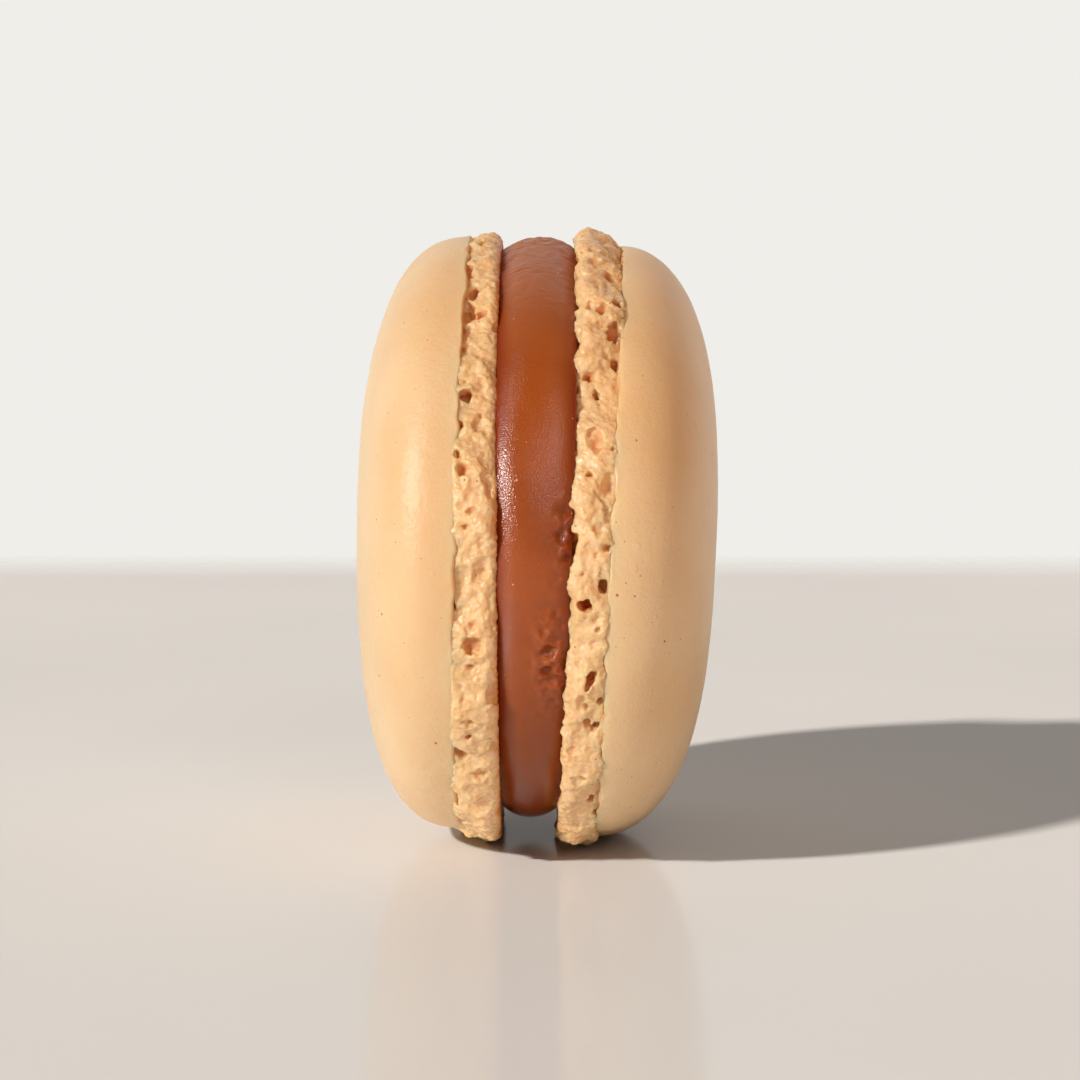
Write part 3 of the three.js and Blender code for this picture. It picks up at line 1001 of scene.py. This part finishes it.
def make_table():
    """A pale glossy table top that fades into the wall behind it."""
    mesh = bmesh.new()
    made = bmesh.ops.create_grid(mesh, x_segments=1, y_segments=1, size=0.5)
    depth = TABLE_FAR - TABLE_NEAR
    bmesh.ops.scale(mesh, vec=(TABLE_WIDTH, depth, 1), verts=made["verts"])
    bmesh.ops.translate(mesh, vec=(0, (TABLE_FAR + TABLE_NEAR) / 2, 0), verts=made["verts"])
    table = as_object(mesh, "table")
    material, tree, shader, place = start_material("table")
    tones = [(stop, [value * shade for value in TABLE_COLOUR]) for stop, shade in TABLE_SHADES]
    slow = ramp(tree, grain_texture(tree, place, TABLE_TONE_WAVE, TONE_DETAIL), tones)
    backwards = add_node(tree, "ShaderNodeSeparateXYZ", {"Vector": place}).outputs["Y"]
    tree.links.new(slow, shader.inputs["Base Color"])
    shader.inputs["Specular IOR Level"].default_value = 0
    gloss = add_node(tree, "ShaderNodeBsdfGlossy", {"Roughness": TABLE_GLOSS_BLUR}).outputs["BSDF"]
    clear = add_node(tree, "ShaderNodeBsdfTransparent").outputs["BSDF"]
    polished = mix_shaders(tree, TABLE_GLOSS, shader.outputs["BSDF"], gloss)
    fading = mix_shaders(tree, map_range(tree, backwards, TABLE_FADE, TABLE_FAR), polished, clear)
    tree.links.new(fading, tree.nodes["Material Output"].inputs["Surface"])
    table.data.materials.append(material)
    return table


def mix_shaders(tree, factor, first, second):
    return add_node(tree, "ShaderNodeMixShader", {0: factor, 1: first, 2: second}).outputs["Shader"]


def light_room():
    """A dim room with a bright wall behind the macaron and a small window."""
    world = bpy.data.worlds.new("room")
    bpy.context.scene.world = world
    world.use_nodes = True
    tree = world.node_tree
    direction = add_node(tree, "ShaderNodeTexCoord").outputs["Generated"]
    backwards = add_node(tree, "ShaderNodeSeparateXYZ", {"Vector": direction}).outputs["Y"]
    room = tuple(ROOM_STRENGTH * value for value in ROOM_COLOUR)
    walls = blend_colours(tree, map_range(tree, backwards, *WALL_TURN), room, WALL_COLOUR)
    inputs = {0: direction, 1: TOWARDS_WINDOW}
    nearness = add_node(tree, "ShaderNodeVectorMath", inputs, operation="DOT_PRODUCT").outputs["Value"]
    window = map_range(tree, nearness, *WINDOW_TURN)
    colour = blend_colours(tree, window, walls, WINDOW_COLOUR)
    tree.links.new(colour, tree.nodes["Background"].inputs["Color"])


@dataclass(frozen=True)
class Lamp:
    """A distant lamp: degrees right of the camera and above the horizon, strength, colour and spread."""

    name: str
    turn: float
    height: float
    strength: float
    colour: tuple
    spread: float


# The key light of the macaron is lower than the one that draws its shadow on the table.
TABLE_KEY = Lamp("table_key", -54, 33, 5.8, (1.0, 1.0, 0.97), 3.5)
KEY = Lamp("key", -48, 20, 1.95, (1.0, 0.98, 0.935), 6)
FILL = Lamp("fill", 40, 40, 0.64, (1.0, 0.44, 0.1), 70)


@dataclass(frozen=True)
class Pane:
    """A light pane: degrees right of the camera and above the horizon, its size in metres and its watts."""

    name: str
    turn: float
    height: float
    width: float
    tall: float
    power: float
    colour: tuple


# Panes draw the long highlights. All of them hang at the same distance, and where a lamp hangs changes
# nothing but its direction.
LAMP_DISTANCE = 1
PANE_DISTANCE = 0.8
DOME_PANE = Pane("dome_pane", -49, 12, 0.16, 1.2, 2.6, (1.0, 0.97, 0.9))
CARAMEL_STRIP = Pane("caramel_strip", -51, 17, 0.05, 1.2, 2.8, (1.0, 0.96, 0.96))
CARAMEL_PANE = Pane("caramel_pane", 17, 31, 0.2, 0.55, 0.5, (1.0, 0.9, 1.0))


def towards_lamp(turn, height):
    """The direction that lies so many degrees to the right of the camera and above the horizon."""
    away = Matrix.Rotation(turn * DEGREE, 3, "Z") @ Vector((0, -math.cos(height * DEGREE), 0))
    return away + Vector((0, 0, math.sin(height * DEGREE)))


def hang(light, direction, distance, pieces):
    """Hangs a light in that direction, turned to the macaron, so that it lights only those pieces."""
    holder = bpy.data.objects.new(light.name, light)
    holder.location = direction * distance
    holder.rotation_euler = direction.to_track_quat("Z", "Y").to_euler()
    bpy.context.scene.collection.objects.link(holder)
    lit = bpy.data.collections.new(light.name + "_lights")
    for piece in pieces:
        lit.objects.link(piece)
    holder.light_linking.receiver_collection = lit


def add_lamp(lamp, pieces):
    light = bpy.data.lights.new(lamp.name, "SUN")
    light.energy = lamp.strength
    light.color = lamp.colour
    light.angle = lamp.spread * DEGREE
    hang(light, towards_lamp(lamp.turn, lamp.height), LAMP_DISTANCE, pieces)


def add_pane(pane, pieces):
    light = bpy.data.lights.new(pane.name, "AREA")
    light.shape = "RECTANGLE"
    light.size = pane.width
    light.size_y = pane.tall
    light.energy = pane.power
    light.color = pane.colour
    hang(light, towards_lamp(pane.turn, pane.height), PANE_DISTANCE, pieces)


# The camera stands in front of the rim, a little above the macaron's axis. Its reach is in metres.
CAMERA_DISTANCE = 166
CAMERA_HEIGHT = 35.5
CAMERA_PITCH = 4.68
CAMERA_REACH = (0.01, 10)
SENSOR_WIDTH = 36
PHOTO_SIZE = 1080
PHOTO_FOCAL = 2234


def place_camera():
    lens = bpy.data.cameras.new("camera")
    lens.sensor_width = SENSOR_WIDTH
    lens.lens = SENSOR_WIDTH * PHOTO_FOCAL / PHOTO_SIZE
    lens.clip_start, lens.clip_end = CAMERA_REACH
    camera = bpy.data.objects.new("camera", lens)
    camera.location = (0, -CAMERA_DISTANCE * MM, CAMERA_HEIGHT * MM)
    camera.rotation_euler = ((90 - CAMERA_PITCH) * DEGREE, 0, 0)
    bpy.context.scene.collection.objects.link(camera)
    bpy.context.scene.camera = camera


def dress(piece, material):
    """Gives a finished piece its material and lets it ride on the macaron's one body."""
    piece.data.materials.clear()
    piece.data.materials.append(material)
    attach(piece, "root")


place_camera()
light_room()
table = make_table()

dome_crust = dome_material()
foot_crumb = foot_material()
pieces = []
for shell in (LEFT_SHELL, RIGHT_SHELL):
    dome = make_dome(shell)
    foot = make_foot(shell)
    dress(dome, dome_crust)
    dress(foot, foot_crumb)
    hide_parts(shell.name)
    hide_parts(shell.name)
    pieces += [dome, foot]
caramel = make_caramel()
dress(caramel, caramel_material())
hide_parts("caramel_filling")
pieces.append(caramel)

add_lamp(TABLE_KEY, [table])
add_lamp(KEY, pieces)
add_lamp(FILL, pieces)
add_pane(DOME_PANE, [piece for piece in pieces if piece != caramel])
add_pane(CARAMEL_STRIP, [caramel])
add_pane(CARAMEL_PANE, [caramel])

bpy.context.scene.view_settings.view_transform = "Standard"
